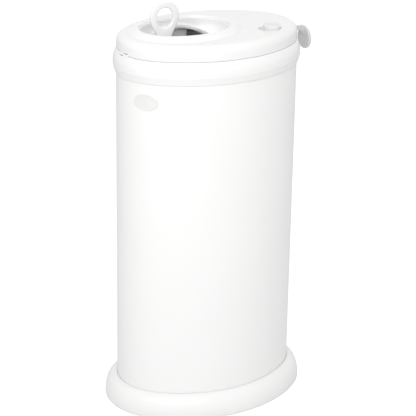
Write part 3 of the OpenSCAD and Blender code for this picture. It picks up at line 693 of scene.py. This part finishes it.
# ---------------------------------------------------------------- the rear latch
def make_latch():
    """The latch: a dished round pad with a rolled edge, on the end of a bent lever that has a hook.

    The pad's edge is two quarter circles of radius roll, and the lever is a prism of its side view.
    """
    roll = 1.6
    prof = [(0, 0.7), (10.5, 0.7), (12.8, 0.2), (THUMB_R - roll, 0.0)]
    prof += [(THUMB_R - roll + roll * math.sin(a), roll - roll * math.cos(a))
             for a in np.linspace(0.2, math.pi / 2, 7)]
    prof += [(THUMB_R - roll + roll * math.cos(a), THUMB_T - roll + roll * math.sin(a))
             for a in np.linspace(0.05, math.pi / 2, 7)]
    prof += [(13.0, THUMB_T - 0.25), (10.8, THUMB_T - 0.9), (0, THUMB_T - 1.1)]
    pad = revolve("latch_pad", prof, 96)
    pad.data.transform(Matrix.Rotation(math.radians(-90), 4, "X"))
    pad.data.transform(Matrix.Translation((0, THUMB_Y * MM, THUMB_Z * MM)))
    low, high = SEAM + 1, SEAM + 6
    arm = round_profile([(LATCH_Y - 3.9, LATCH_Z - 2), (LATCH_Y - 1, low), (THUMB_Y - 7, low),
                         (THUMB_Y, THUMB_Z + 5),
                         (THUMB_Y + 1, THUMB_Z + 5), (THUMB_Y + 1, high), (LATCH_Y + 6.5, high),
                         (LATCH_Y + 4.1, LATCH_Z + 1)], [0, 2, 2, 0, 0, 0.4, 2, 0], 5)
    lever = prism("latch_arm", arm, -5, 5, 0.6)
    t = np.linspace(0, 2 * math.pi, 48, endpoint=False)
    hub = np.stack([LATCH_Y + HUB_R * np.cos(t), LATCH_Z + HUB_R * np.sin(t)], -1)
    keep = LATCH_Y - 4.1
    hook_z = LEDGE_Z + 3.5
    hook = [(keep, hook_z), (LATCH_Y - 0.5, hook_z), (LATCH_Y - 0.5, LATCH_Z), (LATCH_Y - 2.7, LATCH_Z),
            (LATCH_Y - 2.7, hook_z + 2), (keep, hook_z + 2)]
    cut(lever, prism("tool", hub, -4.98, 4.98), "UNION")
    cut(lever, prism("tool", hook, -4.96, 4.96), "UNION")
    cut(lever, rod(-9, 9, LATCH_Y, LATCH_Z, LATCH_BORE, 48))
    return sharp_by_angle(join(lever, pad))


latch = make_latch()
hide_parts("latch_lever"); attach(latch, "latch")


# ---------------------------------------------------------------- shared effects, as node groups
def new_group(name, inputs, outputs):
    """An empty shader group with the given sockets, and its two end nodes."""
    group = bpy.data.node_groups.new(name, "ShaderNodeTree")
    for label, kind, value in inputs:
        socket = group.interface.new_socket(label, in_out="INPUT", socket_type=kind)
        if value is not None:
            socket.default_value = value
    for label, kind in outputs:
        group.interface.new_socket(label, in_out="OUTPUT", socket_type=kind)
    return group, group.nodes.new("NodeGroupInput"), group.nodes.new("NodeGroupOutput")


def maths(tree, operation, a, b, clamp=False):
    """A maths node of two numbers or sockets."""
    node = tree.nodes.new("ShaderNodeMath")
    node.operation, node.use_clamp = operation, clamp
    for i, v in enumerate((a, b)):
        if isinstance(v, (int, float)):
            node.inputs[i].default_value = v
        else:
            tree.links.new(v, node.inputs[i])
    return node.outputs[0]


def noise(tree, vector, scale, detail, rough=0.5):
    """A noise between 0 and 1; its features are about 1 / scale metres wide."""
    node = tree.nodes.new("ShaderNodeTexNoise")
    node.inputs["Scale"].default_value = scale
    node.inputs["Detail"].default_value = detail
    node.inputs["Roughness"].default_value = rough
    tree.links.new(vector, node.inputs["Vector"])
    return node.outputs["Fac"]


def orange_peel_group():
    """Powder coat: soft waves about 2 mm wide, finer pits on them, and slow changes of gloss."""
    g, gin, gout = new_group("powder_coat_skin", [("Vector", "NodeSocketVector", None)],
                             [("Height", "NodeSocketFloat"), ("Cloud", "NodeSocketFloat")])
    wave = noise(g, gin.outputs[0], 520, 2)
    pits = noise(g, gin.outputs[0], 1500, 1)
    height = maths(g, "ADD", maths(g, "MULTIPLY", wave, 0.75), maths(g, "MULTIPLY", pits, 0.25))
    g.links.new(height, gout.inputs[0])
    g.links.new(noise(g, gin.outputs[0], 9, 3), gout.inputs[1])
    return g


def moulded_group():
    """Moulded plastic: a fine spark-eroded grain, long sink waves, cloudy flow marks and upright scuffs."""
    g, gin, gout = new_group("moulded_skin", [("Vector", "NodeSocketVector", None)],
                             [("Height", "NodeSocketFloat"), ("Cloud", "NodeSocketFloat"),
                              ("Scuff", "NodeSocketFloat")])
    grain = noise(g, gin.outputs[0], 1800, 2)
    sink = noise(g, gin.outputs[0], 28, 1)
    height = maths(g, "ADD", maths(g, "MULTIPLY", grain, 0.3), maths(g, "MULTIPLY", sink, 0.7))
    g.links.new(height, gout.inputs[0])
    g.links.new(noise(g, gin.outputs[0], 14, 4, 0.6), gout.inputs[1])
    turn = g.nodes.new("ShaderNodeMapping")
    turn.inputs["Scale"].default_value = (260, 260, 18)
    g.links.new(gin.outputs[0], turn.inputs["Vector"])
    streak = noise(g, turn.outputs[0], 1.0, 3, 0.7)
    scuff = maths(g, "MULTIPLY", maths(g, "SUBTRACT", streak, 0.62), 6.0, clamp=True)
    g.links.new(scuff, gout.inputs[2])
    return g


def floor_shade_and_wear_group():
    """A mask for painted shade at the floor, strongest at the floor and fading upwards, broken up by clouds."""
    g, gin, gout = new_group("floor_shade_wear",
                             [("Vector", "NodeSocketVector", None), ("Reach", "NodeSocketFloat", 0.03)],
                             [("Mask", "NodeSocketFloat")])
    split = g.nodes.new("ShaderNodeSeparateXYZ")
    g.links.new(gin.outputs[0], split.inputs[0])
    rise = maths(g, "DIVIDE", split.outputs[2], gin.outputs[1])
    fade = maths(g, "SUBTRACT", 1.0, rise, clamp=True)
    cloud = noise(g, gin.outputs[0], 45, 4, 0.65)
    g.links.new(maths(g, "MULTIPLY", maths(g, "POWER", fade, 2.0), cloud, clamp=True), gout.inputs[0])
    return g


def brushed_group():
    """Plated steel: fine scratches drawn out along x, and a mottle of the plating."""
    g, gin, gout = new_group("plated_skin", [("Vector", "NodeSocketVector", None)],
                             [("Height", "NodeSocketFloat"), ("Mottle", "NodeSocketFloat")])
    stretch = g.nodes.new("ShaderNodeMapping")
    stretch.inputs["Scale"].default_value = (60, 2400, 2400)
    g.links.new(gin.outputs[0], stretch.inputs["Vector"])
    g.links.new(noise(g, stretch.outputs[0], 1.0, 3), gout.inputs[0])
    g.links.new(noise(g, gin.outputs[0], 160, 3), gout.inputs[1])
    return g


PEEL, MOULDED, SHADE_AND_WEAR, PLATED = orange_peel_group(), moulded_group(), floor_shade_and_wear_group(), brushed_group()


# ---------------------------------------------------------------- materials
def start_material(name):
    """A new material with its shader and the Object coordinates."""
    mat = bpy.data.materials.new(name)
    mat.use_nodes = True
    tree = mat.node_tree
    shader = tree.nodes["Principled BSDF"]
    coords = tree.nodes.new("ShaderNodeTexCoord").outputs["Object"]
    return mat, tree, shader, coords


def place_group(tree, group, coords, **values):
    """One use of a shared group in a material."""
    node = tree.nodes.new("ShaderNodeGroup")
    node.node_tree = group
    tree.links.new(coords, node.inputs["Vector"])
    for key, value in values.items():
        node.inputs[key].default_value = value
    return node


def blend_colour(tree, factor, low, high):
    """A mix of two colours or colour sockets."""
    node = tree.nodes.new("ShaderNodeMix")
    node.data_type = "RGBA"
    tree.links.new(factor, node.inputs[0])
    for socket, value in ((node.inputs[6], low), (node.inputs[7], high)):
        if isinstance(value, tuple):
            socket.default_value = (*value, 1)
        else:
            tree.links.new(value, socket)
    return node.outputs[2]


def between(tree, factor, low, high):
    """Turns 0 to 1 into low to high."""
    node = tree.nodes.new("ShaderNodeMapRange")
    tree.links.new(factor, node.inputs[0])
    node.inputs[3].default_value, node.inputs[4].default_value = low, high
    return node.outputs[0]


def bump(tree, shader, height, strength, distance):
    """Bends the shader's normal by a height; the distance is in metres."""
    node = tree.nodes.new("ShaderNodeBump")
    node.inputs["Strength"].default_value = strength
    node.inputs["Distance"].default_value = distance
    tree.links.new(height, node.inputs["Height"])
    tree.links.new(node.outputs[0], shader.inputs["Normal"])


def plastic(name, pale, dull, rough=(0.22, 0.34), coat=0.0, grain=0.06, painted_floor_shade=0.0):
    """Moulded plastic between two close tints, rougher where it is scuffed, with painted shade near the floor,
    where it is also rougher.
    """
    mat, tree, shader, coords = start_material(name)
    skin = place_group(tree, MOULDED, coords)
    tint = blend_colour(tree, between(tree, skin.outputs["Cloud"], 0.0, 1.0), dull, pale)
    rough_map = between(tree, maths(tree, "ADD", maths(tree, "MULTIPLY", skin.outputs["Cloud"], 0.6),
                                    maths(tree, "MULTIPLY", skin.outputs["Scuff"], 0.4)), *rough)
    if painted_floor_shade > 0:
        mask = place_group(tree, SHADE_AND_WEAR, coords, Reach=0.03).outputs["Mask"]
        # painted shade: the tint darkens to grey towards the floor
        tint = blend_colour(tree, maths(tree, "MULTIPLY", mask, painted_floor_shade), tint, (0.55, 0.54, 0.52))
        rough_map = maths(tree, "ADD", rough_map, maths(tree, "MULTIPLY", mask, 0.25), clamp=True)
    tree.links.new(tint, shader.inputs["Base Color"])
    tree.links.new(rough_map, shader.inputs["Roughness"])
    shader.inputs["Coat Weight"].default_value = coat
    shader.inputs["Coat Roughness"].default_value = 0.08
    bump(tree, shader, skin.outputs["Height"], grain, 0.0004)
    return mat


def powder_coat(name, pale, dull):
    """The tube's paint under a thin clear gloss."""
    mat, tree, shader, coords = start_material(name)
    skin = place_group(tree, PEEL, coords)
    tint = blend_colour(tree, between(tree, skin.outputs["Cloud"], 0.0, 1.0), dull, pale)
    tree.links.new(tint, shader.inputs["Base Color"])
    tree.links.new(between(tree, skin.outputs["Cloud"], 0.30, 0.40), shader.inputs["Roughness"])
    shader.inputs["Coat Weight"].default_value = 0.25
    shader.inputs["Coat Roughness"].default_value = 0.12
    bump(tree, shader, skin.outputs["Height"], 0.05, 0.0003)
    return mat


def rubber(name, pale, dull):
    """Matt rubber between two close tints."""
    mat, tree, shader, coords = start_material(name)
    skin = place_group(tree, MOULDED, coords)
    tree.links.new(blend_colour(tree, skin.outputs["Cloud"], dull, pale), shader.inputs["Base Color"])
    tree.links.new(between(tree, skin.outputs["Cloud"], 0.6, 0.78), shader.inputs["Roughness"])
    shader.inputs["Specular IOR Level"].default_value = 0.3
    bump(tree, shader, skin.outputs["Height"], 0.2, 0.0004)
    return mat


def plated(name, pale, dull):
    """Plated steel, brighter and duller with the mottle."""
    mat, tree, shader, coords = start_material(name)
    skin = place_group(tree, PLATED, coords)
    tree.links.new(blend_colour(tree, skin.outputs["Mottle"], dull, pale), shader.inputs["Base Color"])
    tree.links.new(between(tree, skin.outputs["Mottle"], 0.26, 0.42), shader.inputs["Roughness"])
    shader.inputs["Metallic"].default_value = 1.0
    bump(tree, shader, skin.outputs["Height"], 0.12, 0.0002)
    return mat


FINISH = {
    "tube_paint": powder_coat("white powder coat", (0.90, 0.90, 0.895), (0.875, 0.875, 0.87)),
    # the foot's last number is the strength of its painted floor shade
    "foot_plastic": plastic("foot plastic", (0.88, 0.88, 0.875), (0.855, 0.855, 0.85),
                            (0.30, 0.42), 0.1, 0.08, 0.35),
    "collar_plastic": plastic("collar plastic", (0.90, 0.90, 0.895), (0.875, 0.875, 0.87),
                              (0.22, 0.32), 0.25),
    "lid_plastic": plastic("lid plastic", (0.89, 0.89, 0.885), (0.865, 0.865, 0.86), (0.20, 0.30), 0.3),
    "rim_plastic": plastic("gloss rim plastic", (0.90, 0.90, 0.895), (0.88, 0.88, 0.875),
                           (0.12, 0.20), 0.6, 0.03),
    # painted light: paler than the outer white, to brighten the shaded inside of the throat; the bag ring shares
    # it
    "inner_plastic": plastic("inner plastic", (0.93, 0.93, 0.93), (0.91, 0.91, 0.91),
                             (0.30, 0.42), 0.1, 0.12),
    "door_plastic": plastic("door plastic", (0.84, 0.84, 0.835), (0.81, 0.81, 0.805), (0.18, 0.28), 0.3),
    "button_plastic": plastic("button plastic", (0.80, 0.80, 0.795), (0.77, 0.77, 0.765),
                              (0.26, 0.36), 0.15, 0.1),
    "latch_plastic": plastic("latch plastic", (0.65, 0.65, 0.66), (0.61, 0.61, 0.62),
                             (0.26, 0.36), 0.15, 0.1),
    "badge_white": plastic("badge plastic", (0.82, 0.82, 0.815), (0.79, 0.79, 0.785), (0.2, 0.3), 0.3),
    "pad_rubber": rubber("pad rubber", (0.05, 0.05, 0.05), (0.03, 0.03, 0.03)),
    # painted light: a pale grey for the seals, so the seam's gap and the mouth's lip read lighter than their
    # shade
    "seal_rubber": rubber("seal rubber", (0.74, 0.74, 0.76), (0.68, 0.68, 0.70)),
    "bare_steel": plated("plated steel", (0.66, 0.66, 0.65), (0.56, 0.56, 0.55)),
    "screw_steel": plated("screw steel", (0.62, 0.62, 0.62), (0.5, 0.5, 0.5)),
}
SLOT_OF = {row["node"]: row["material_slot"] for row in frame["record"]["subparts"]}


def dress(obj, slot_name):
    """Gives a piece the one material of its slot."""
    obj.data.materials.clear()
    obj.data.materials.append(FINISH[slot_name])


for piece, slot_name in (
        (foot, "foot_plastic"), (tube, "tube_paint"), (badge, "badge_white"), (collar, "collar_plastic"),
        (seal, "seal_rubber"), (bag_ring, "inner_plastic"), (lid, "lid_plastic"), (rim, "rim_plastic"),
        (throat, "inner_plastic"), (lips, "seal_rubber"), (door, "door_plastic"), (ring, "rim_plastic"),
        (button, "button_plastic"), (tray, "lid_plastic"), (latch, "latch_plastic")):
    dress(piece, slot_name)
for node, obj in frame["nodes"].items():
    for i in range(len(obj.material_slots)):
        obj.material_slots[i].material = FINISH[SLOT_OF[node]]


# ---------------------------------------------------------------- floor, backdrop and light
def make_floor():
    """A pale floor that the camera sees as white, darkened only where the bin shades it."""
    mesh = bpy.data.meshes.new("floor")
    size = 6.0
    corners = [(-size, -size, 0), (size, -size, 0), (size, size, 0), (-size, size, 0)]
    mesh.from_pydata(corners, [], [(0, 1, 2, 3)])
    obj = bpy.data.objects.new("floor", mesh)
    bpy.context.scene.collection.objects.link(obj)
    mat = bpy.data.materials.new("floor")
    mat.use_nodes = True
    tree = mat.node_tree
    shader = tree.nodes["Principled BSDF"]
    shader.inputs["Base Color"].default_value = (0.86, 0.86, 0.86, 1)
    shader.inputs["Roughness"].default_value = 0.9
    shader.inputs["Specular IOR Level"].default_value = 0.1
    glow = tree.nodes.new("ShaderNodeEmission")
    add = tree.nodes.new("ShaderNodeAddShader")
    path = tree.nodes.new("ShaderNodeLightPath")
    seen = maths(tree, "MULTIPLY", path.outputs["Is Camera Ray"], FLOOR_GLOW)
    tree.links.new(seen, glow.inputs["Strength"])
    tree.links.new(shader.outputs[0], add.inputs[0])
    tree.links.new(glow.outputs[0], add.inputs[1])
    tree.links.new(add.outputs[0], tree.nodes["Material Output"].inputs["Surface"])
    mesh.materials.append(mat)


def make_world():
    """A white world: full for the camera, for gloss and for glass, a little dimmer as a light."""
    world = bpy.data.worlds.new("studio")
    bpy.context.scene.world = world
    world.use_nodes = True
    tree = world.node_tree
    back = tree.nodes["Background"]
    path = tree.nodes.new("ShaderNodeLightPath")
    seen = maths(tree, "MAXIMUM", path.outputs["Is Camera Ray"],
                 maths(tree, "MAXIMUM", path.outputs["Is Glossy Ray"], path.outputs["Is Transmission Ray"]))
    level = tree.nodes.new("ShaderNodeMapRange")
    tree.links.new(seen, level.inputs[0])
    level.inputs[3].default_value, level.inputs[4].default_value = WORLD_LIGHT, 1.0
    tree.links.new(level.outputs[0], back.inputs["Strength"])
    back.inputs["Color"].default_value = (1, 1, 1, 1)


def lamp(name, place, aim, power, size):
    """A round area lamp turned towards a point; power in watts, size in metres."""
    data = bpy.data.lights.new(name, "AREA")
    data.energy, data.size, data.shape = power, size, "DISK"
    obj = bpy.data.objects.new(name, data)
    bpy.context.scene.collection.objects.link(obj)
    ahead = np.array(aim, float) - np.array(place, float)
    ahead /= np.linalg.norm(ahead)
    side = np.cross(ahead, [0, 0, 1.0])
    side /= np.linalg.norm(side)
    top = np.cross(side, ahead)
    obj.matrix_world = Matrix([[side[i], top[i], -ahead[i], place[i]] for i in range(3)] + [[0, 0, 0, 1]])


make_floor()
make_world()
lamp("key", (1.72, -1.20, 1.80), (0, 0, 0.35), 26, 1.6)
lamp("top", (0.3, 0.1, 2.7), (0, 0, 0.55), 3, 1.8)

bpy.context.scene.view_settings.view_transform = "Standard"
